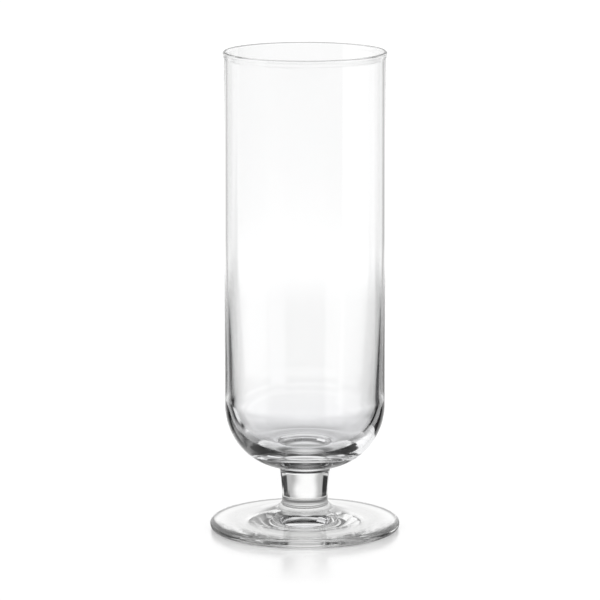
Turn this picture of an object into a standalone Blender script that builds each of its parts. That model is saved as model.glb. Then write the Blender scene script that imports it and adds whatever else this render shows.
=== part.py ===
"""Cocktail glass: a tall straight bowl fused to a short solid stem and a round foot.

Metres, +Z up. The origin is the centre of the ring that the foot stands on, and every piece is
turned about the Z axis. Each outline is drawn on the piece's own lower plane, and the pieces are
stacked by parenting: the stem stands on the foot, and the bowl stands on the stem.
"""
import math

import bpy

# Bowl
BOWL_DIAMETER = 0.0648
BOWL_HEIGHT = 0.1686
UPPER_WALL = 0.0011
LOWER_WALL = 0.00345
LOWER_WALL_HEIGHT = 0.0043
WALL_TAPER_HEIGHT = 0.050
RIM_SWELL = 0.00045
RIM_SWELL_HEIGHT = 0.0026
BASE_THICKNESS = 0.0081
INNER_CORNER_REACH = 0.0159
INNER_CORNER_HEIGHT = 0.0192
OUTER_CORNER_ASPECT = 1.1

# Stem
STEM_WAIST_DIAMETER = 0.0185
STEM_WAIST_HEIGHT = 0.01185
STEM_TAPER = math.radians(8.0)
BOWL_FLARE = 0.0027
FOOT_FLARE = 0.0024
FOOT_FLARE_HEIGHT = 0.003

# Joints: how steeply the outside runs where one piece is fused to the next, from the horizontal
BOWL_JOINT_SLOPE = math.radians(10.0)
STEM_END_SLOPE = math.radians(38.0)
FOOT_START_SLOPE = math.radians(25.0)

# Foot
FOOT_DIAMETER = 0.077
FOOT_EDGE = 0.0038
FOOT_SLOPE = math.radians(4.5)
FOOT_RISE = 0.00298
FOOT_RING_WIDTH = 0.0074
FOOT_RECESS = 0.00165

# How finely the round stretches are divided
SEGMENTS = 60
CORNER_POINTS = 11
TAPER_POINTS = 8
FLARE_POINTS = 7
RIM_POINTS = 7

# Stem outline, worked out first because both neighbours take their joint faces from it
UPPER_FLARE_TURN = math.pi / 2 - BOWL_JOINT_SLOPE
UPPER_FLARE_RADIUS = BOWL_FLARE / (math.cos(STEM_TAPER) - math.cos(UPPER_FLARE_TURN))
UPPER_FLARE_HEIGHT = UPPER_FLARE_RADIUS * (math.sin(UPPER_FLARE_TURN) - math.sin(STEM_TAPER))
STEM_HEIGHT = FOOT_FLARE_HEIGHT + STEM_WAIST_HEIGHT + UPPER_FLARE_HEIGHT
WAIST_RADIUS = STEM_WAIST_DIAMETER / 2
WAIST_SPREAD = STEM_WAIST_HEIGHT * math.tan(STEM_TAPER) / 2
BOWL_JOINT_RADIUS = WAIST_RADIUS + WAIST_SPREAD + BOWL_FLARE
FOOT_JOINT_RADIUS = WAIST_RADIUS + FOOT_FLARE

# Foot outline: a straight slope from the edge, and a rise that dies away from the joint outwards
EDGE_RADIUS = FOOT_EDGE / 2
EDGE_CENTRE = FOOT_DIAMETER / 2 - EDGE_RADIUS
SLOPE_START = EDGE_CENTRE + EDGE_RADIUS * math.sin(FOOT_SLOPE)
SLOPE_START_HEIGHT = EDGE_RADIUS + EDGE_RADIUS * math.cos(FOOT_SLOPE)
SLOPE_LENGTH = SLOPE_START - FOOT_JOINT_RADIUS
FOOT_HEIGHT = SLOPE_START_HEIGHT + SLOPE_LENGTH * math.tan(FOOT_SLOPE) + FOOT_RISE
RISE_POWER = (math.tan(FOOT_START_SLOPE) - math.tan(FOOT_SLOPE)) * SLOPE_LENGTH / FOOT_RISE
RING_INNER_RADIUS = EDGE_CENTRE - FOOT_RING_WIDTH


def spread(start, end, count):
    """Return count values from start to end, both included."""
    return [start + (end - start) * index / (count - 1) for index in range(count)]


def ease(share):
    """Return a share from 0 to 1 that starts and ends gently."""
    return share * share * (3.0 - 2.0 * share)


def arc(centre, radii, start, end, count):
    """Return points of an ellipse's arc, with angles from +X towards +Z."""
    return [
        (centre[0] + radii[0] * math.cos(angle), centre[1] + radii[1] * math.sin(angle))
        for angle in spread(start, end, count)
    ]


def bend(start, corner, end, count):
    """Return points of a curve that leaves start towards corner and reaches end from corner."""
    points = []
    for share in spread(0.0, 1.0, count):
        rest = 1.0 - share
        radius = rest**2 * start[0] + 2.0 * rest * share * corner[0] + share**2 * end[0]
        height = rest**2 * start[1] + 2.0 * rest * share * corner[1] + share**2 * end[1]
        points.append((radius, height))
    return points


def bowl_outline():
    """Run from the middle of the inner floor up the inside, over the rim and down the outside."""
    outer = BOWL_DIAMETER / 2
    upper_inner = outer - UPPER_WALL
    lower_inner = outer - LOWER_WALL
    floor_radius = lower_inner - INNER_CORNER_REACH
    corner_top = BASE_THICKNESS + INNER_CORNER_HEIGHT
    taper_bottom = corner_top + LOWER_WALL_HEIGHT

    points = [(0.0, BASE_THICKNESS)]
    points += arc(
        (floor_radius, corner_top),
        (INNER_CORNER_REACH, INNER_CORNER_HEIGHT),
        -math.pi / 2,
        0.0,
        CORNER_POINTS,
    )
    for share in spread(0.0, 1.0, TAPER_POINTS):
        radius = lower_inner + (upper_inner - lower_inner) * ease(share)
        points.append((radius, taper_bottom + WALL_TAPER_HEIGHT * share))

    rim_radius = (UPPER_WALL + RIM_SWELL) / 2
    rim_height = BOWL_HEIGHT - rim_radius
    points += arc(
        (upper_inner + rim_radius, rim_height), (rim_radius, rim_radius), math.pi, 0.0, RIM_POINTS
    )
    for share in spread(0.0, 1.0, FLARE_POINTS)[1:]:
        points.append((outer + RIM_SWELL * (1.0 - ease(share)), rim_height - RIM_SWELL_HEIGHT * share))

    joint_turn = math.atan(math.tan(BOWL_JOINT_SLOPE) / OUTER_CORNER_ASPECT)
    reach = (outer - BOWL_JOINT_RADIUS) / (1.0 - math.sin(joint_turn))
    drop = reach * OUTER_CORNER_ASPECT
    points += arc(
        (outer - reach, drop * math.cos(joint_turn)),
        (reach, drop),
        0.0,
        joint_turn - math.pi / 2,
        CORNER_POINTS,
    )[:-1]
    points += [(BOWL_JOINT_RADIUS, 0.0), (0.0, 0.0)]
    return points


def stem_outline():
    """Run down the outside of the solid stem, from one fused face to the other."""
    points = [(0.0, STEM_HEIGHT), (BOWL_JOINT_RADIUS, STEM_HEIGHT)]
    waist_bottom = FOOT_FLARE_HEIGHT
    waist_top = waist_bottom + STEM_WAIST_HEIGHT
    upper_centre = (
        WAIST_RADIUS + WAIST_SPREAD + UPPER_FLARE_RADIUS * math.cos(STEM_TAPER),
        waist_top - UPPER_FLARE_RADIUS * math.sin(STEM_TAPER),
    )
    points += arc(
        upper_centre,
        (UPPER_FLARE_RADIUS, UPPER_FLARE_RADIUS),
        math.pi - UPPER_FLARE_TURN,
        math.pi - STEM_TAPER,
        FLARE_POINTS,
    )[1:]
    for share in spread(1.0, 0.0, TAPER_POINTS)[1:-1]:
        points.append((WAIST_RADIUS + WAIST_SPREAD * share**2, waist_bottom + STEM_WAIST_HEIGHT * share))
    flare_corner = (WAIST_RADIUS, FOOT_FLARE * math.tan(STEM_END_SLOPE))
    points += bend((WAIST_RADIUS, waist_bottom), flare_corner, (FOOT_JOINT_RADIUS, 0.0), FLARE_POINTS)
    points.append((0.0, 0.0))
    return points


def foot_outline():
    """Run from the fused face down the sloped top, round the edge and over the hollow underside."""
    points = [(0.0, FOOT_HEIGHT)]
    for share in spread(0.0, 1.0, TAPER_POINTS)[:-1]:
        slope = SLOPE_START_HEIGHT + SLOPE_LENGTH * (1.0 - share) * math.tan(FOOT_SLOPE)
        rise = FOOT_RISE * (1.0 - share) ** RISE_POWER
        points.append((FOOT_JOINT_RADIUS + SLOPE_LENGTH * share, slope + rise))
    points += arc(
        (EDGE_CENTRE, EDGE_RADIUS),
        (EDGE_RADIUS, EDGE_RADIUS),
        math.pi / 2 - FOOT_SLOPE,
        -math.pi / 2,
        CORNER_POINTS,
    )
    for share in spread(1.0, 0.0, FLARE_POINTS):
        points.append((RING_INNER_RADIUS * share, FOOT_RECESS * (1.0 - share**2)))
    return points


def clear_glass(name, tint):
    """Return a clear glass material with a faint tint."""
    material = bpy.data.materials.new(name)
    material.use_nodes = True
    shader = material.node_tree.nodes["Principled BSDF"]
    shader.inputs["Base Color"].default_value = (*tint, 1.0)
    shader.inputs["Metallic"].default_value = 0.0
    shader.inputs["Roughness"].default_value = 0.02
    shader.inputs["IOR"].default_value = 1.52
    shader.inputs["Transmission Weight"].default_value = 1.0
    return material


def turned_piece(name, outline, material, collection):
    """Return an object whose outline is turned once about Z."""
    mesh = bpy.data.meshes.new(name)
    edges = [(index, index + 1) for index in range(len(outline) - 1)]
    mesh.from_pydata([(radius, 0.0, height) for radius, height in outline], edges, [])
    mesh.materials.append(material)
    piece = bpy.data.objects.new(name, mesh)
    collection.objects.link(piece)
    turn = piece.modifiers.new("Turn", "SCREW")
    turn.axis = "Z"
    turn.angle = 2 * math.pi
    turn.steps = SEGMENTS
    turn.render_steps = SEGMENTS
    turn.use_merge_vertices = True
    turn.merge_threshold = 0.00001
    turn.use_smooth_shade = True
    return piece


def build():
    """Make the three pieces and stack them."""
    for old in list(bpy.data.objects):
        bpy.data.objects.remove(old, do_unlink=True)
    collection = bpy.data.collections.new("cocktail_glass")
    bpy.context.scene.collection.children.link(collection)

    foot = turned_piece("foot", foot_outline(), clear_glass("foot_glass", (0.95, 0.96, 0.95)), collection)
    stem = turned_piece("stem", stem_outline(), clear_glass("stem_glass", (0.94, 0.95, 0.94)), collection)
    bowl = turned_piece("bowl", bowl_outline(), clear_glass("bowl_glass", (0.96, 0.97, 0.96)), collection)
    stem.parent = foot
    stem.location.z = FOOT_HEIGHT
    bowl.parent = stem
    bowl.location.z = STEM_HEIGHT


build()
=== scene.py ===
# %% [markdown]
# # A clear cocktail glass
#
# The real glass is three-part stemware: a blown bowl, a short solid stem and a pressed foot, fused
# together while hot. Each piece is round, so each one is turned here from half an outline, as on a
# lathe. Clear glass has hardly any colour of its own: what we see in it is the room, bent by its walls.
# So this lesson is about three things: true outlines, a finish that refracts, and a room worth showing.
#
# The imported CAD model is loaded first. It gives the frame, in metres with +Z up, and the heights of
# the foot's top, the bowl's bottom and the rim.

import math

import bpy
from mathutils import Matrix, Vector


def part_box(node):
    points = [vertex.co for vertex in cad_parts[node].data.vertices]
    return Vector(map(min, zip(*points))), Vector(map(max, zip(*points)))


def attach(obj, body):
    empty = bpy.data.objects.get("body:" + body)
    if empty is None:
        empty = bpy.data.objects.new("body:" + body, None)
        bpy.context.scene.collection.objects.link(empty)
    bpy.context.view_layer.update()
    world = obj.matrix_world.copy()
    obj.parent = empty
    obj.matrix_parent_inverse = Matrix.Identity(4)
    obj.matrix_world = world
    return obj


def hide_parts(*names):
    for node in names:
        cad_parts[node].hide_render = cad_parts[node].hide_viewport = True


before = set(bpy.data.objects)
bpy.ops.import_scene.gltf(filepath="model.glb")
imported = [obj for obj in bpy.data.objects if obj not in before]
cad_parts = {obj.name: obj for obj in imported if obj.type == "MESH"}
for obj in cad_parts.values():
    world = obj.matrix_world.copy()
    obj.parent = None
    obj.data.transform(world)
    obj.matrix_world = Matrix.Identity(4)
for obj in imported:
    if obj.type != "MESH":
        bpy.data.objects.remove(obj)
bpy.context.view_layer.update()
bowl_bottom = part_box("bowl")[0].z
rim_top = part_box("bowl")[1].z
foot_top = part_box("foot")[1].z
print(f"foot up to {1000 * foot_top:.2f} mm, bowl from {1000 * bowl_bottom:.2f} to {1000 * rim_top:.2f} mm")

# %% [markdown]
# ## Drawing half an outline
#
# An outline is a list of (radius, height) points, drawn in one go round the glass of a piece. Four
# small helpers draw nearly everything on a turned glass: evenly spread values, a share that starts and
# ends gently, an arc of an ellipse, and a bend between two given directions. The points lie closer
# together than in the CAD model, because refraction shows every facet. Lengths are in metres, and
# slopes and other angles in degrees.

# %% Outline helpers


def spread(start, end, count):
    """Return count values from start to end, both included."""
    return [start + (end - start) * index / (count - 1) for index in range(count)]


def ease(share):
    """Return a share from 0 to 1 that starts and ends gently."""
    return share * share * (3.0 - 2.0 * share)


def arc(centre, radii, start, end, count):
    """Return points of an ellipse's arc, with angles in degrees from outwards towards upwards."""
    points = []
    for angle in spread(math.radians(start), math.radians(end), count):
        points.append((centre[0] + radii[0] * math.cos(angle), centre[1] + radii[1] * math.sin(angle)))
    return points


def bend(start, corner, end, count):
    """Return points of a curve that leaves start towards corner and reaches end from corner."""
    points = []
    for share in spread(0.0, 1.0, count):
        rest = 1.0 - share
        radius = rest**2 * start[0] + 2.0 * rest * share * corner[0] + share**2 * end[0]
        height = rest**2 * start[1] + 2.0 * rest * share * corner[1] + share**2 * end[1]
        points.append((radius, height))
    return points


print("a gentle share in four steps:", [round(ease(share), 3) for share in spread(0.0, 1.0, 5)])

# %% [markdown]
# ## The stem's outline
#
# The stem is a short solid cylinder, a little wider at the top, that flares into the bowl above and
# the foot below. It is drawn first because its flares fix where the other two pieces are fused to it.
# It could be a plain cylinder with bevels, but a bevel can't end at a chosen slope. Above, the flare runs
# on smoothly into the bowl, so it is an arc that stops at the joint's slope. Below, the tool that shaped
# the foot left a faint crease, so the flare is a bend that ends steeper than the foot begins.
#
# The middle of each fused face is sunk by a twentieth of a millimetre. Two faces in exactly the same
# place make a renderer trip over them again and again, and the joint would turn black.

# %% Stem outline
WAIST_RADIUS = 0.00925
WAIST_HEIGHT = 0.01185
STEM_TAPER = 8.0
BOWL_FLARE = 0.0027
BOWL_JOINT_SLOPE = 10.0
FOOT_FLARE = 0.0024
FOOT_FLARE_HEIGHT = 0.003
STEM_END_SLOPE = 38.0
JOINT_SINK = 0.00005
WAIST_POINTS = 25
FLARE_POINTS = 31

waist_spread = WAIST_HEIGHT * math.tan(math.radians(STEM_TAPER)) / 2
bowl_joint_radius = WAIST_RADIUS + waist_spread + BOWL_FLARE
foot_joint_radius = WAIST_RADIUS + FOOT_FLARE


def stem_outline():
    """Run down the outside, from the middle of one fused face to the middle of the other."""
    taper_turn = math.radians(STEM_TAPER)
    upper_turn = math.radians(90.0 - BOWL_JOINT_SLOPE)
    upper_radius = BOWL_FLARE / (math.cos(taper_turn) - math.cos(upper_turn))
    waist_bottom = foot_top + FOOT_FLARE_HEIGHT
    upper_centre = (
        WAIST_RADIUS + waist_spread + upper_radius * math.cos(taper_turn),
        waist_bottom + WAIST_HEIGHT - upper_radius * math.sin(taper_turn),
    )
    upper_angles = (90.0 + BOWL_JOINT_SLOPE, 180.0 - STEM_TAPER)
    points = [(0.0, bowl_bottom - JOINT_SINK)]
    points += arc(upper_centre, (upper_radius, upper_radius), *upper_angles, FLARE_POINTS)
    for share in spread(1.0, 0.0, WAIST_POINTS)[1:-1]:
        points.append((WAIST_RADIUS + waist_spread * share**2, waist_bottom + WAIST_HEIGHT * share))
    flare_corner = (WAIST_RADIUS, foot_top + FOOT_FLARE * math.tan(math.radians(STEM_END_SLOPE)))
    points += bend((WAIST_RADIUS, waist_bottom), flare_corner, (foot_joint_radius, foot_top), FLARE_POINTS)
    points.append((0.0, foot_top + JOINT_SINK))
    return points


print(f"stem: {len(stem_outline())} points, fused over {2000 * bowl_joint_radius:.1f} mm above")

# %% [markdown]
# ## The bowl's outline
#
# The bowl is a blown tube. Its wall is about a millimetre thick at the top and three times that near
# the bottom, where the glass gathered, and its rim was melted round in a flame, which leaves a faint
# bead. The inside ends in a rounded corner and a flat floor over a thick base. A Solidify modifier on a
# single surface would give the same wall everywhere, and it is the changing wall that draws the dark
# lines of the lower bowl. So the inside and the outside are drawn as two curves of their own.

# %% Bowl outline
BOWL_RADIUS = 0.0324
UPPER_WALL = 0.0011
LOWER_WALL = 0.00345
LOWER_WALL_HEIGHT = 0.0005
WALL_TAPER_HEIGHT = 0.066
# A bias below 1 puts most of the taper low in the wall.
WALL_TAPER_BIAS = 0.65
RIM_SWELL = 0.00045
RIM_SWELL_HEIGHT = 0.0026
BASE_THICKNESS = 0.0081
INNER_CORNER = (0.0159, 0.0192)
OUTER_CORNER_ASPECT = 1.1
FLOOR_SHARES = (0.0, 0.5, 0.97)
CORNER_POINTS = 61
WALL_POINTS = 41
RIM_POINTS = 21
SWELL_POINTS = 11


def bowl_inside():
    """Run from the middle of the floor, round the corner and up to where the wall is thin."""
    upper_inner = BOWL_RADIUS - UPPER_WALL
    lower_inner = BOWL_RADIUS - LOWER_WALL
    floor_radius = lower_inner - INNER_CORNER[0]
    floor_height = bowl_bottom + BASE_THICKNESS
    corner_top = bowl_bottom + BASE_THICKNESS + INNER_CORNER[1]
    points = [(floor_radius * share, floor_height) for share in FLOOR_SHARES]
    points += arc((floor_radius, corner_top), INNER_CORNER, -90.0, 0.0, CORNER_POINTS)
    for share in spread(0.0, 1.0, WALL_POINTS):
        radius = lower_inner + (upper_inner - lower_inner) * ease(share**WALL_TAPER_BIAS)
        points.append((radius, corner_top + LOWER_WALL_HEIGHT + WALL_TAPER_HEIGHT * share))
    return points


def bowl_rim():
    """Run over the bead and down to where its swell ends on the outside."""
    bead = (UPPER_WALL + RIM_SWELL) / 2
    bead_height = rim_top - bead
    points = arc((BOWL_RADIUS - UPPER_WALL + bead, bead_height), (bead, bead), 180.0, 0.0, RIM_POINTS)
    for share in spread(0.0, 1.0, SWELL_POINTS)[1:]:
        radius = BOWL_RADIUS + RIM_SWELL * (1.0 - ease(share))
        points.append((radius, bead_height - RIM_SWELL_HEIGHT * share))
    return points


def bowl_outside():
    """Run round the outer corner and under the base to the middle of the fused face."""
    joint_turn = math.atan(math.tan(math.radians(BOWL_JOINT_SLOPE)) / OUTER_CORNER_ASPECT)
    reach = (BOWL_RADIUS - bowl_joint_radius) / (1.0 - math.sin(joint_turn))
    drop = reach * OUTER_CORNER_ASPECT
    corner_centre = (BOWL_RADIUS - reach, bowl_bottom + drop * math.cos(joint_turn))
    points = arc(corner_centre, (reach, drop), 0.0, math.degrees(joint_turn) - 90.0, CORNER_POINTS)[:-1]
    return points + [(bowl_joint_radius, bowl_bottom), (0.0, bowl_bottom)]


def bowl_outline():
    """Run up the inside, over the rim and down the outside."""
    return bowl_inside() + bowl_rim() + bowl_outside()


print(f"bowl: {len(bowl_outline())} points, wall from {1000 * UPPER_WALL:.2f} to {1000 * LOWER_WALL:.2f} mm")

# %% [markdown]
# ## The foot's outline
#
# The foot is a pressed disc. Its top slopes down from the stem, its edge is rounded, and its underside
# is slightly hollow, so that it stands on a ring and doesn't rock. The hollow matters to the eye as well:
# seen through the top it bends the light, and the foot looks thicker in the middle than at its edge.

# %% Foot outline
FOOT_RADIUS = 0.0385
EDGE_RADIUS = 0.0019
FOOT_SLOPE = 4.5
FOOT_START_SLOPE = 25.0
FOOT_RISE = 0.00298
RING_WIDTH = 0.0074
RECESS = 0.00165
SLOPE_POINTS = 41
EDGE_POINTS = 41
RECESS_POINTS = 31


def foot_outline():
    """Run from the fused face down the sloped top, round the edge and over the hollow underside."""
    slope = math.tan(math.radians(FOOT_SLOPE))
    edge_centre = FOOT_RADIUS - EDGE_RADIUS
    slope_start = edge_centre + EDGE_RADIUS * math.sin(math.radians(FOOT_SLOPE))
    slope_height = EDGE_RADIUS + EDGE_RADIUS * math.cos(math.radians(FOOT_SLOPE))
    length = slope_start - foot_joint_radius
    rise_power = (math.tan(math.radians(FOOT_START_SLOPE)) - slope) * length / FOOT_RISE
    points = [(0.0, foot_top)]
    for share in spread(0.0, 1.0, SLOPE_POINTS)[:-1]:
        height = slope_height + length * (1.0 - share) * slope + FOOT_RISE * (1.0 - share) ** rise_power
        points.append((foot_joint_radius + length * share, height))
    edge_angles = (90.0 - FOOT_SLOPE, -90.0)
    points += arc((edge_centre, EDGE_RADIUS), (EDGE_RADIUS, EDGE_RADIUS), *edge_angles, EDGE_POINTS)
    for share in spread(1.0, 0.0, RECESS_POINTS):
        points.append(((edge_centre - RING_WIDTH) * share, RECESS * (1.0 - share**2)))
    return points


print(f"foot: {len(foot_outline())} points, {2000 * FOOT_RADIUS:.0f} mm across")

# %% [markdown]
# ## Node trees as plain arithmetic
#
# Both the lathe and the finishes are node trees. Placing nodes one by one hides what they work out, so
# a value on a link is wrapped in a small class: adding or multiplying such values adds the Math nodes.
# Every other node comes from one method, which takes its type, its settings and its sockets.

# %% Values that build nodes


class Wire:
    """A number on its way through a node tree. Arithmetic on it adds Math nodes."""

    def __init__(self, bench, socket):
        self.bench = bench
        self.socket = socket

    def __add__(self, other):
        return self.bench.maths("ADD", self, other)

    def __radd__(self, other):
        return self.bench.maths("ADD", other, self)

    def __sub__(self, other):
        return self.bench.maths("SUBTRACT", self, other)

    def __rsub__(self, other):
        return self.bench.maths("SUBTRACT", other, self)

    def __mul__(self, other):
        return self.bench.maths("MULTIPLY", self, other)

    def __rmul__(self, other):
        return self.bench.maths("MULTIPLY", other, self)


class Bench:
    """A node tree that is being put together."""

    def __init__(self, tree):
        self.tree = tree

    def node(self, kind, settings=None, sockets=None):
        """Add a node: its settings first, then a value or a link for each socket."""
        node = self.tree.nodes.new(kind)
        for name, setting in (settings or {}).items():
            setattr(node, name, setting)
        for key, value in (sockets or {}).items():
            source = getattr(value, "socket", value)
            if isinstance(source, bpy.types.NodeSocket):
                self.tree.links.new(source, node.inputs[key])
            else:
                node.inputs[key].default_value = value
        return node

    def wire(self, kind, settings=None, sockets=None, output=0):
        """Add a node and return one of its outputs as a value for arithmetic."""
        return Wire(self, self.node(kind, settings, sockets).outputs[output])

    def maths(self, operation, first, second=0.0, third=0.0):
        """Return the result of one Math node."""
        return self.wire("ShaderNodeMath", {"operation": operation}, {0: first, 1: second, 2: third})

    def fade(self, value, start, end, before=0.0, after=1.0):
        """Return before below start and after above end, with a gentle change between them."""
        sockets = {"Value": value, "From Min": start, "From Max": end, "To Min": before, "To Max": after}
        return self.wire("ShaderNodeMapRange", {"interpolation_type": "SMOOTHSTEP"}, sockets)


print("wires take +, - and *, with a number on either side")

# %% [markdown]
# ## The lathe
#
# Turning an outline is a rule, so it is made with Geometry Nodes: one tree serves all three pieces. It
# starts from a flat grid with a column for each step round the axis and a row for each point of the
# outline. Each grid point looks up its row's radius and height, and is moved round the axis. Merging
# the doubles closes the seam and the poles. The outline also says which of its strips are fused faces,
# and they get a material of their own. A Screw modifier would turn the outline as well, but it can't
# give two strips of one piece different materials.

# %% Lathe tree: its inputs and the flat grid
LATHE_INPUTS = {
    "Outline": "NodeSocketGeometry",
    "Steps": "NodeSocketInt",
    "Points": "NodeSocketInt",
    "Glass": "NodeSocketMaterial",
    "Fused face": "NodeSocketMaterial",
}
GRID_SIZE = 1.0

lathe = bpy.data.node_groups.new("glass_lathe", "GeometryNodeTree")
for name, kind in LATHE_INPUTS.items():
    lathe.interface.new_socket(name, in_out="INPUT", socket_type=kind)
lathe.interface.new_socket("Piece", in_out="OUTPUT", socket_type="NodeSocketGeometry")

bench = Bench(lathe)
given = bench.node("NodeGroupInput").outputs
columns = Wire(bench, given["Steps"]) + 1
grid = bench.node(
    "GeometryNodeMeshGrid",
    sockets={"Size X": GRID_SIZE, "Size Y": GRID_SIZE, "Vertices X": columns, "Vertices Y": given["Points"]},
)
print("lathe inputs:", list(LATHE_INPUTS))

# %% Lathe tree: look up each row of the outline
# The grid is one metre wide and lies round the middle, so half of that more makes each place a share.
place = bench.wire("GeometryNodeInputPosition")
flat = bench.node("ShaderNodeSeparateXYZ", sockets={0: place}).outputs
row = (Wire(bench, flat["Y"]) + GRID_SIZE / 2) * (Wire(bench, given["Points"]) - 1)
nearest = bench.wire("FunctionNodeFloatToInt", {"rounding_mode": "ROUND"}, {0: row})
drawn = bench.wire(
    "GeometryNodeSampleIndex",
    {"data_type": "FLOAT_VECTOR", "domain": "POINT"},
    {"Geometry": given["Outline"], "Value": place, "Index": nearest},
)

# The middle of a face lies half a row further on, so rounding down gives its strip.
strip = bench.wire("FunctionNodeFloatToInt", {"rounding_mode": "FLOOR"}, {0: row})
mark = bench.wire("GeometryNodeInputNamedAttribute", {"data_type": "FLOAT"}, {"Name": "fused"})
marked = bench.wire(
    "GeometryNodeSampleIndex",
    {"data_type": "FLOAT", "domain": "POINT"},
    {"Geometry": given["Outline"], "Value": mark, "Index": strip},
)
flagged = bench.node(
    "GeometryNodeStoreNamedAttribute",
    {"data_type": "FLOAT", "domain": "FACE"},
    {"Geometry": grid.outputs["Mesh"], "Name": "fused", "Value": marked},
)
print(f"lathe tree so far: {len(lathe.nodes)} nodes")

# %% Lathe tree: turn the rows and close the skin
# Turning clockwise makes the faces look outwards.
FULL_TURN = -2.0 * math.pi
MERGE_DISTANCE = 1e-6

turn = (Wire(bench, flat["X"]) + GRID_SIZE / 2) * FULL_TURN
upright = bench.node("ShaderNodeSeparateXYZ", sockets={0: drawn}).outputs
radius = Wire(bench, upright["X"])
round_axis = {
    "X": radius * bench.maths("COSINE", turn),
    "Y": radius * bench.maths("SINE", turn),
    "Z": upright["Z"],
}
turned = bench.node(
    "GeometryNodeSetPosition",
    sockets={
        "Geometry": flagged.outputs[0],
        "Position": bench.wire("ShaderNodeCombineXYZ", sockets=round_axis),
    },
)
closed = bench.node(
    "GeometryNodeMergeByDistance", sockets={"Geometry": turned.outputs[0], "Distance": MERGE_DISTANCE}
)
print(f"lathe tree so far: {len(lathe.nodes)} nodes")

# %% Lathe tree: give the strips their shading and materials
MARK_LIMIT = 0.5

fused = bench.wire("FunctionNodeCompare", {"operation": "GREATER_THAN"}, {0: mark, 1: MARK_LIMIT})
smooth = bench.node("GeometryNodeSetShadeSmooth", sockets={0: closed.outputs[0], "Shade Smooth": True})
faced = bench.node(
    "GeometryNodeSetShadeSmooth", sockets={0: smooth.outputs[0], "Selection": fused, "Shade Smooth": False}
)
realized = bench.node("GeometryNodeRealizeInstances", sockets={"Geometry": faced.outputs[0]})
glazed = bench.node(
    "GeometryNodeSetMaterial", sockets={"Geometry": realized.outputs[0], "Material": given["Glass"]}
)
joined = bench.node(
    "GeometryNodeSetMaterial",
    sockets={"Geometry": glazed.outputs[0], "Selection": fused, "Material": given["Fused face"]},
)
bench.node("NodeGroupOutput", sockets={"Piece": joined.outputs[0]})
print(f"lathe tree: {len(lathe.nodes)} nodes")

# %% [markdown]
# ## Clear glass
#
# Soda-lime glass bends light with an index of refraction of 1.52 and takes away a few per cent of it. It
# could be a Glass BSDF with an absorbing volume, but this glass is so clear that the tint can sit on the
# surface, where it also survives an export. The rays that carry shadows meet a transparent shader
# instead, so that the light passes through the glass to the table without being traced as caustics.
#
# A perfectly even surface looks like plastic. Real glass has a faint swell left by how it was worked, and
# a polish that isn't equal everywhere. Each piece gets its own, from noise in its own direction.

# %% Clear glass helper
GLASS_INDEX = 1.52
SHADOW_PASS = 0.80


def grey(level):
    """Return a colour without a hue."""
    return (level, level, level, 1.0)


def clear_glass(name, tint, roughness, height, swell_depth):
    """Return a refracting finish. Tint, roughness and height are functions of a bench and a place."""
    material = bpy.data.materials.new(name)
    material.use_nodes = True
    material.node_tree.nodes.clear()
    bench = Bench(material.node_tree)
    place = bench.wire("ShaderNodeTexCoord", output="Object")
    swell = bench.node(
        "ShaderNodeBump", sockets={"Strength": 1.0, "Distance": swell_depth, "Height": height(bench, place)}
    )
    glass = bench.node(
        "ShaderNodeBsdfPrincipled",
        sockets={
            "Base Color": tint(bench, place),
            "Roughness": roughness(bench, place),
            "IOR": GLASS_INDEX,
            "Transmission Weight": 1.0,
            "Normal": swell.outputs[0],
        },
    )
    shadow = bench.node("ShaderNodeBsdfTransparent", sockets={"Color": grey(SHADOW_PASS)})
    ray = bench.node("ShaderNodeLightPath").outputs
    either = bench.node(
        "ShaderNodeMixShader", sockets={0: ray["Is Shadow Ray"], 1: glass.outputs[0], 2: shadow.outputs[0]}
    )
    bench.node("ShaderNodeOutputMaterial", sockets={"Surface": either.outputs[0]})
    return material


print(f"clear glass: index {GLASS_INDEX}, and {SHADOW_PASS:.0%} of the light passes each surface")

# %% Patterns in the glass
NOISE_DETAIL = 2.0


def noise(bench, place, stretch, scale):
    """Return noise from about 0 to 1, stretched by scaling the place first."""
    moved = bench.wire("ShaderNodeMapping", {"vector_type": "POINT"}, {"Vector": place, "Scale": stretch})
    return bench.wire("ShaderNodeTexNoise", sockets={"Vector": moved, "Scale": scale, "Detail": NOISE_DETAIL})


def blend_tint(bench, share, thin, thick):
    """Return a colour that goes from thin to thick as share goes from 0 to 1."""
    # A Mix node takes colours on sockets 6 and 7 and gives the blend on output 2.
    colour_sockets = {0: share, 6: (*thin, 1.0), 7: (*thick, 1.0)}
    return bench.wire("ShaderNodeMix", {"data_type": "RGBA"}, colour_sockets, output=2)


def height_of(bench, place):
    """Return the height of a place on the piece."""
    return bench.wire("ShaderNodeSeparateXYZ", sockets={0: place}, output="Z")


print(f"patterns: noise with detail {NOISE_DETAIL:.0f}, tints and heights")

# %% [markdown]
# ### The bowl's glass
#
# The bowl was blown and drawn upwards, so its swell runs up and down in long soft streaks. The base is
# eight millimetres of glass where the wall is one, so it is tinted slightly cooler and deeper. The polish
# varies a little all over, as on a glass that has been wiped dry.

# %% Bowl glass
CLEAR_TINT = (0.991, 0.992, 0.991)
COOL_TINT = (0.968, 0.970, 0.984)
BASE_TINT_HEIGHTS = (0.034, 0.060)
BASE_TINT_SHARE = 0.8
STREAK_TINT_SHARE = 0.2
POLISH = 0.012
BOWL_SWELL_DEPTH = 0.00002


def bowl_tint(bench, place):
    """Return a cooler tint in the base, with faint streaks."""
    base = bench.fade(height_of(bench, place), *BASE_TINT_HEIGHTS, before=1.0, after=0.0)
    streak = noise(bench, place, stretch=(1.0, 1.0, 0.1), scale=90.0)
    return blend_tint(bench, base * BASE_TINT_SHARE + streak * STREAK_TINT_SHARE, CLEAR_TINT, COOL_TINT)


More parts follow.
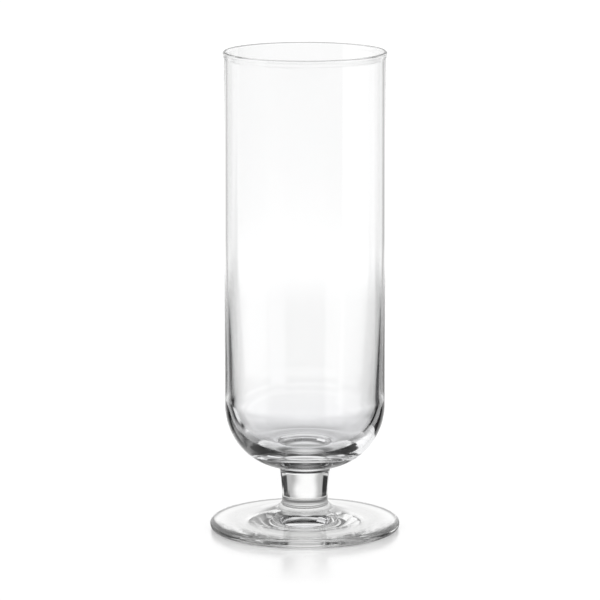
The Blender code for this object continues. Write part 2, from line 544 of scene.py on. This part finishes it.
def bowl_polish(bench, place):
    """Return a polish that was wiped up and down."""
    return noise(bench, place, stretch=(1.0, 1.0, 0.4), scale=140.0) * POLISH


def bowl_swell(bench, place):
    """Return long upright streaks."""
    return noise(bench, place, stretch=(1.0, 1.0, 0.06), scale=60.0)


bowl_glass = clear_glass("clear_bowl_glass", bowl_tint, bowl_polish, bowl_swell, BOWL_SWELL_DEPTH)
print(f"{bowl_glass.name}: {len(bowl_glass.node_tree.nodes)} nodes")

# %% [markdown]
# ### The stem's glass
#
# The stem was turned and pulled while soft, so its faint swell runs round it in rings. It is solid, which
# makes it the deepest glass to look through, so it has a deeper tint throughout. The bowl's base leans to
# blue, and stem and foot lean a hair towards yellow.

# %% Stem glass
WARM_TINT = (0.972, 0.973, 0.966)
STEM_TINT_LEAST = 0.4
STEM_TINT_CHANGE = 0.5
STEM_SWELL_DEPTH = 0.000008


def stem_tint(bench, place):
    """Return a warm tint that changes a little from ring to ring."""
    rings = noise(bench, place, stretch=(0.2, 0.2, 1.0), scale=400.0)
    return blend_tint(bench, rings * STEM_TINT_CHANGE + STEM_TINT_LEAST, CLEAR_TINT, WARM_TINT)


def stem_polish(bench, place):
    """Return a polish that was wiped round."""
    return noise(bench, place, stretch=(0.5, 0.5, 1.0), scale=260.0) * POLISH


def stem_swell(bench, place):
    """Return faint rings."""
    return noise(bench, place, stretch=(0.15, 0.15, 1.0), scale=300.0)


stem_glass = clear_glass("clear_stem_glass", stem_tint, stem_polish, stem_swell, STEM_SWELL_DEPTH)
print(f"{stem_glass.name}: {len(stem_glass.node_tree.nodes)} nodes")

# %% [markdown]
# ### The foot's glass
#
# The foot was pressed in a mould, which chills the glass and leaves a fine uneven skin. The ring that it
# stands on slides over tables and trays, so it is scuffed: its polish is worn there and nowhere else.

# %% Foot glass
FOOT_TINT_LEAST = 0.2
FOOT_TINT_CHANGE = 0.5
FOOT_SWELL_DEPTH = 0.00001
SCUFF_HEIGHT = 0.0003
SCUFF_ROUGHNESS = 0.10
EVEN = (1.0, 1.0, 1.0)


def foot_tint(bench, place):
    """Return a warm tint in soft clouds."""
    clouds = noise(bench, place, stretch=EVEN, scale=120.0)
    return blend_tint(bench, clouds * FOOT_TINT_CHANGE + FOOT_TINT_LEAST, CLEAR_TINT, WARM_TINT)


def foot_polish(bench, place):
    """Return a polish that is scratched where the foot touches the table."""
    low = bench.fade(height_of(bench, place), 0.0, SCUFF_HEIGHT, before=1.0, after=0.0)
    scratches = noise(bench, place, stretch=(1.0, 0.15, 1.0), scale=900.0)
    return noise(bench, place, stretch=EVEN, scale=220.0) * POLISH + low * scratches * SCUFF_ROUGHNESS


def foot_swell(bench, place):
    """Return the uneven skin of pressed glass."""
    return noise(bench, place, stretch=EVEN, scale=130.0)


foot_glass = clear_glass("clear_foot_glass", foot_tint, foot_polish, foot_swell, FOOT_SWELL_DEPTH)
print(f"{foot_glass.name}: {len(foot_glass.node_tree.nodes)} nodes, scuffs {1000 * SCUFF_HEIGHT:.1f} mm high")

# %% [markdown]
# ### The fused joints
#
# Where two hot pieces of glass are fused there is no surface left, and light goes straight on. The pieces
# stay separate here, so the faces that meet get a shader that does nothing to the light.

# %% Fused joint finish
fused_joint = bpy.data.materials.new("fused_joint")
fused_joint.use_nodes = True
fused_joint.node_tree.nodes.clear()
bench = Bench(fused_joint.node_tree)
through = bench.node("ShaderNodeBsdfTransparent")
bench.node("ShaderNodeOutputMaterial", sockets={"Surface": through.outputs[0]})
print(f"{fused_joint.name}: light passes with colour {tuple(through.inputs[0].default_value)[:3]}")

# %% [markdown]
# ## Turning the three pieces
#
# Each outline becomes a row of loose points with its fused strips marked, the lathe tree is put on it with
# its inputs set, and the result is taken off as a plain mesh. Then each piece is measured: a solid piece
# of glass is closed, and its volume comes out positive only if its faces look outwards.

# %% Turn an outline
TURN_STEPS = 240


def turned_piece(name, outline, fused_strips, glass):
    """Return an object made by turning an outline. A fused strip is given by its first point."""
    line = bpy.data.meshes.new(name + "_outline")
    line.from_pydata([(radius, 0.0, height) for radius, height in outline], [], [])
    marks = line.attributes.new("fused", "FLOAT", "POINT")
    for strip in fused_strips:
        marks.data[strip % len(outline)].value = 1.0
    drawing = bpy.data.objects.new(name + "_outline", line)
    bpy.context.scene.collection.objects.link(drawing)
    modifier = drawing.modifiers.new("Lathe", "NODES")
    modifier.node_group = lathe
    values = {"Steps": TURN_STEPS, "Points": len(outline), "Glass": glass, "Fused face": fused_joint}
    for item in lathe.interface.items_tree:
        if item.name in values:
            modifier[item.identifier] = values[item.name]
    bpy.context.view_layer.update()
    evaluated = drawing.evaluated_get(bpy.context.evaluated_depsgraph_get())
    mesh = bpy.data.meshes.new_from_object(evaluated)
    mesh.name = name
    bpy.data.objects.remove(drawing)
    # The grid brings an empty first material slot. It goes, and the numbers of the others move up.
    used = [face.material_index - 1 for face in mesh.polygons]
    mesh.materials.pop(index=0)
    mesh.polygons.foreach_set("material_index", used)
    piece = bpy.data.objects.new(name, mesh)
    bpy.context.scene.collection.objects.link(piece)
    return piece


print(f"each outline is turned in {TURN_STEPS} steps of {360.0 / TURN_STEPS} degrees")

# %% Measure a piece


def measure(piece):
    """Print how many triangles a piece has, whether it is closed, and its volume of glass."""
    mesh = piece.data
    mesh.calc_loop_triangles()
    sides = {}
    for face in mesh.polygons:
        for edge in face.edge_keys:
            sides[edge] = sides.get(edge, 0) + 1
    open_edges = sum(1 for count in sides.values() if count != 2)
    volume = 0.0
    for triangle in mesh.loop_triangles:
        a, b, c = (mesh.vertices[index].co for index in triangle.vertices)
        volume += a.dot(b.cross(c)) / 6.0
    print(
        f"{piece.name}: {len(mesh.loop_triangles)} triangles, {open_edges} open edges,",
        f"{volume * 1e6:.2f} cm3, finishes {[material.name for material in mesh.materials]}",
    )


# %% The three pieces
FIRST_STRIP = 0
LAST_STRIP = -2

glass_bowl = turned_piece("glass_bowl", bowl_outline(), [LAST_STRIP], bowl_glass)
glass_stem = turned_piece("glass_stem", stem_outline(), [FIRST_STRIP, LAST_STRIP], stem_glass)
glass_foot = turned_piece("glass_foot", foot_outline(), [FIRST_STRIP], foot_glass)
for piece, node in ((glass_bowl, "bowl"), (glass_stem, "stem"), (glass_foot, "foot")):
    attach(piece, "root")
    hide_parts(node)
    measure(piece)

# %% [markdown]
# ## The table
#
# The glass stands on a plain white table with a soft polish. It is lit from all round, so the foot leaves
# a faint shadow, and close to the foot the polish shows the glass again, upside down. A little light of
# its own lifts the open table to white. It lies a tenth of a millimetre below the foot, so that no two
# faces are in the same place.

# %% Table
TABLE_SIZE = 30.0
TABLE_GAP = 0.0001

half = TABLE_SIZE / 2
corners = [(-half, -half), (half, -half), (half, half), (-half, half)]
mesh = bpy.data.meshes.new("table")
mesh.from_pydata([(x, y, -TABLE_GAP) for x, y in corners], [], [(0, 1, 2, 3)])
table = bpy.data.objects.new("table", mesh)
bpy.context.scene.collection.objects.link(table)
print(f"table: {TABLE_SIZE:.0f} m across")

# %% Table finish
TABLE_WHITE = 0.95
TABLE_LIFT = 0.12
TABLE_POLISH = 0.40
TABLE_BLUR = 0.20
POLISH_FADE = (0.045, 0.100)

table_white = bpy.data.materials.new("table_white")
table_white.use_nodes = True
table_white.node_tree.nodes.clear()
mesh.materials.append(table_white)
bench = Bench(table_white.node_tree)
place = bench.wire("ShaderNodeTexCoord", output="Object")
away = bench.wire("ShaderNodeVectorMath", {"operation": "LENGTH"}, {0: place}, output="Value")
polish = bench.fade(away, *POLISH_FADE, before=TABLE_POLISH, after=0.0)
matt = bench.node("ShaderNodeBsdfDiffuse", sockets={"Color": grey(TABLE_WHITE)})
gloss = bench.node("ShaderNodeBsdfGlossy", sockets={"Color": grey(1.0), "Roughness": TABLE_BLUR})
polished = bench.node("ShaderNodeMixShader", sockets={0: polish, 1: matt.outputs[0], 2: gloss.outputs[0]})
lift = bench.node("ShaderNodeEmission", sockets={"Strength": TABLE_LIFT})
lit = bench.node("ShaderNodeAddShader", sockets={0: polished.outputs[0], 1: lift.outputs[0]})
print(f"table finish: the polish fades out {1000 * POLISH_FADE[1]:.0f} mm from the middle")

# %% [markdown]
# ### The light below the glass
#
# Seen through the glass, the table is another matter. Stem and foot bend the light on its way down: some
# of it comes straight through the stem, a dark ring lies round that, most of it gathers under the disc,
# and it is missing at the edge, which gives the foot of a real glass its dark rim. Tracing such light
# takes thousands of samples, so rings of light stand in for it. They are measured from the middle, so
# they look the same from every side. Past the last ring, the table lets a ray from the glass through to
# the studio, which is set up further down.

# %% Light below the glass
MIDDLE_LIGHT = 0.85
LIGHT_RINGS = (
    # from radius, to radius, light reached there
    (0.0, 0.008, 0.52),
    (0.008, 0.012, 0.14),
    (0.012, 0.016, 0.30),
    (0.016, 0.021, 0.74),
    (0.021, 0.028, 0.72),
    (0.028, 0.0355, 1.0),
    (0.0355, 0.0375, 0.23),
    (0.0375, 0.042, 0.35),
    (0.042, 0.060, 0.70),
)
STUDIO_FROM = LIGHT_RINGS[-1][1]

light = MIDDLE_LIGHT
for inner, outer, reached in LIGHT_RINGS:
    share = bench.fade(away, inner, outer)
    light = light * (1 - share) + share * reached
rings = bench.node("ShaderNodeEmission", sockets={"Color": light})
open_studio = bench.node("ShaderNodeBsdfTransparent")
past_rings = bench.maths("GREATER_THAN", away, STUDIO_FROM)
below = bench.node(
    "ShaderNodeMixShader", sockets={0: past_rings, 1: rings.outputs[0], 2: open_studio.outputs[0]}
)
print(f"below the glass: {len(LIGHT_RINGS)} rings of light out to {1000 * STUDIO_FROM:.0f} mm")

# %% [markdown]
# ### The lit table past the dark cards
#
# The dark cards lie close to the glass, one behind it on each side. The low stem looks down on them, while
# the tall bowl looks over them to the white table behind, so the same direction is dark in the stem and
# bright at the bowl's edges. Light drawn by direction alone can't do that. So the table past the cards
# shines where a ray lands on it, in the two sectors that the cards take up.

# %% Lit table
LIT_FROM = (0.28, 0.48)
LIT_LEVEL = 0.82
LIT_SECTORS = (
    # middle, half width
    (-52.0, 16.0),
    (48.0, 12.5),
)
SECTOR_SOFT = 2.0
HALF_CIRCLE = 180.0


def bearing_of(bench, direction):
    """Return degrees from straight behind the glass towards the right."""
    return bench.maths("ARCTAN2", direction["X"], direction["Y"]) * math.degrees(1.0)


def within(bench, angle, middle, width, soft):
    """Return 1 up to width from the middle and 0 further off, with a soft edge."""
    off_middle = bench.maths("ABSOLUTE", bench.maths("WRAP", angle - middle, HALF_CIRCLE, -HALF_CIRCLE))
    return bench.fade(off_middle, width - soft, width + soft, before=1.0, after=0.0)


spot = bench.node("ShaderNodeSeparateXYZ", sockets={0: place}).outputs
bearing = bearing_of(bench, spot)
in_sector = sum(within(bench, bearing, middle, width, SECTOR_SOFT) for middle, width in LIT_SECTORS)
past_cards = bench.fade(spot["Y"], *LIT_FROM)
shine = bench.node("ShaderNodeEmission", sockets={"Color": grey(LIT_LEVEL)})
onto_table = bench.node(
    "ShaderNodeMixShader", sockets={0: in_sector * past_cards, 1: below.outputs[0], 2: shine.outputs[0]}
)
print(f"lit table: {len(LIT_SECTORS)} sectors, from {1000 * LIT_FROM[0]:.0f} mm behind the glass")

# %% Table seen directly and off the glass
ray = bench.node("ShaderNodeLightPath").outputs
off_glass = bench.maths("MAXIMUM", ray["Is Transmission Ray"], ray["Is Glossy Ray"])
seen = bench.node("ShaderNodeMixShader", sockets={0: off_glass, 1: lit.outputs[0], 2: onto_table.outputs[0]})
bench.node("ShaderNodeOutputMaterial", sockets={"Surface": seen.outputs[0]})
print(f"{table_white.name}: {len(table_white.node_tree.nodes)} nodes")

# %% [markdown]
# ## The studio
#
# Glass is photographed against a bright backdrop with dark cards beside it: the middle of each wall
# shows the backdrop, and the edges bend the view round to the cards, which draws them as dark lines.
# Lamps and real panels would do this too. Here the cards are drawn on the world by direction, so they can
# have soft edges, stay out of every shadow, and be moved by one number. Each card is a soft-edged patch
# over a dim room, and a later card lies over an earlier one. Shoulders and wings are paler borders of
# the backdrop, tails are the lower ends of the dark cards, and two windows brighten what the other sides
# of the glass show. What lies below the horizon stands for the table and for cards that lie on it.
#
# Azimuth is measured from straight behind the glass towards the right, and elevation upwards.

# %% Studio cards
ROOM_LEVEL = 0.016
# More than half a circle to each side, so that nothing is left out.
ALL_ROUND = 200.0
CARDS = {
    # azimuth, half width, softness, elevation, half height, softness, level
    "table all round": (0.0, ALL_ROUND, 2.0, -10.0, 2.5, 2.0, 1.06),
    "table close by": (0.0, ALL_ROUND, 2.0, -60.0, 30.0, 3.5, 1.06),
    "table behind": (13.0, 36.0, 12.5, -35.0, 24.0, 2.0, 0.38),
    "left panel": (-90.5, 31.0, 2.0, 1.0, 22.5, 4.5, 1.06),
    "right wall": (94.0, 34.0, 2.0, 11.5, 8.0, 2.0, 0.16),
    "backdrop": (-4.0, 22.5, 18.0, 20.5, 50.0, 14.0, 1.06),
    "backdrop top": (0.0, 32.0, 8.0, 36.0, 10.0, 3.0, 0.55),
    "right shoulder": (34.0, 14.0, 8.0, -6.5, 7.0, 2.0, 0.50),
    "left shoulder": (-36.0, 14.0, 8.0, -6.5, 7.0, 2.0, 0.50),
    "left dark card": (-52.0, 14.0, 2.0, -12.0, 15.5, 2.0, 0.04),
    "left tail": (-53.5, 23.5, 12.5, -25.0, 12.5, 3.0, 0.0),
    "right dark card": (48.0, 10.5, 2.0, -5.0, 17.0, 2.0, 0.07),
    "right tail": (35.5, 4.0, 2.5, -27.0, 16.5, 2.0, 0.0),
    "left wing": (-39.0, 5.5, 2.0, 16.5, 12.5, 2.0, 0.84),
    "right wing": (22.5, 17.5, 2.0, 7.5, 7.5, 2.0, 1.06),
    "window left": (-45.0, 8.0, 3.0, -25.5, 7.0, 3.0, 1.0),
    "window right": (135.0, 14.0, 3.0, -15.5, 7.0, 3.0, 1.0),
}

studio = bpy.data.worlds.new("studio")
bpy.context.scene.world = studio
studio.use_nodes = True
studio.node_tree.nodes.clear()
bench = Bench(studio.node_tree)
direction = bench.wire("ShaderNodeTexCoord", output="Generated")
towards = bench.node("ShaderNodeSeparateXYZ", sockets={0: direction}).outputs
azimuth = bearing_of(bench, towards)
elevation = bench.maths("ARCSINE", towards["Z"]) * math.degrees(1.0)

level = ROOM_LEVEL
for side, width, side_soft, up, height, up_soft, card_level in CARDS.values():
    cover = within(bench, azimuth, side, width, side_soft) * within(bench, elevation, up, height, up_soft)
    level = level * (1 - cover) + cover * card_level
print("studio cards:", ", ".join(CARDS))

# %% [markdown]
# ### The light in the studio
#
# The table is lit evenly, by a plain white sky all round. Lamps would be an alternative, but they leave
# hard spots on the glass. Only rays that come through the glass, or that it mirrors downwards, see the
# cards. What it mirrors upwards is the white sky.

# %% Studio light
# The mirrored cards fade into the sky within the first degree above the horizon.
SKY_FROM = (0.0, 1.0)

ray = bench.node("ShaderNodeLightPath").outputs
downwards = bench.fade(elevation, *SKY_FROM, before=1.0, after=0.0)
off_glass = bench.maths("MAXIMUM", ray["Is Transmission Ray"], downwards * ray["Is Glossy Ray"])
sky = bench.node("ShaderNodeBackground", sockets={"Color": grey(1.0), "Strength": 1.0})
cards = bench.node("ShaderNodeBackground", sockets={"Color": level, "Strength": 1.0})
shown = bench.node("ShaderNodeMixShader", sockets={0: off_glass, 1: sky.outputs[0], 2: cards.outputs[0]})
bench.node("ShaderNodeOutputWorld", sockets={"Surface": shown.outputs[0]})
print(f"world: {len(studio.node_tree.nodes)} nodes")

# %% [markdown]
# ## The camera
#
# The photograph was taken from in front and slightly above, from about eight times the glass's height
# away, with a long lens. A camera could be placed by eye, but then the rim's ellipse and the foot's would
# not both fit. So these values come from fitting the outline of the glass to the photograph's.

# %% Camera
SENSOR_WIDTH = 36.0
LENS = 238.04
CLIP_START = 0.01
CAMERA_PLACE = (-0.00197, -1.5747, 0.37981)
CAMERA_DIP = 10.2844

camera_data = bpy.data.cameras.new("camera")
camera_data.sensor_width = SENSOR_WIDTH
camera_data.lens = LENS
camera_data.clip_start = CLIP_START
camera = bpy.data.objects.new("camera", camera_data)
camera.location = CAMERA_PLACE
camera.rotation_euler = (math.radians(90.0 - CAMERA_DIP), 0.0, 0.0)
bpy.context.scene.collection.objects.link(camera)
bpy.context.scene.camera = camera
print(f"camera: {LENS} mm lens at {CAMERA_PLACE} m, looking down by {CAMERA_DIP:.1f} degrees")

# %% [markdown]
# ## Light paths
#
# A ray that looks through the base of the glass crosses many walls before it leaves, so it is allowed more
# bounces than usual: with too few, the thick parts turn black.

# %% Finish
GLASS_BOUNCES = 32
MIRROR_BOUNCES = 16

scene = bpy.context.scene
scene.view_settings.view_transform = "Standard"
scene.cycles.max_bounces = GLASS_BOUNCES
scene.cycles.transmission_bounces = GLASS_BOUNCES
scene.cycles.transparent_max_bounces = GLASS_BOUNCES
scene.cycles.glossy_bounces = MIRROR_BOUNCES
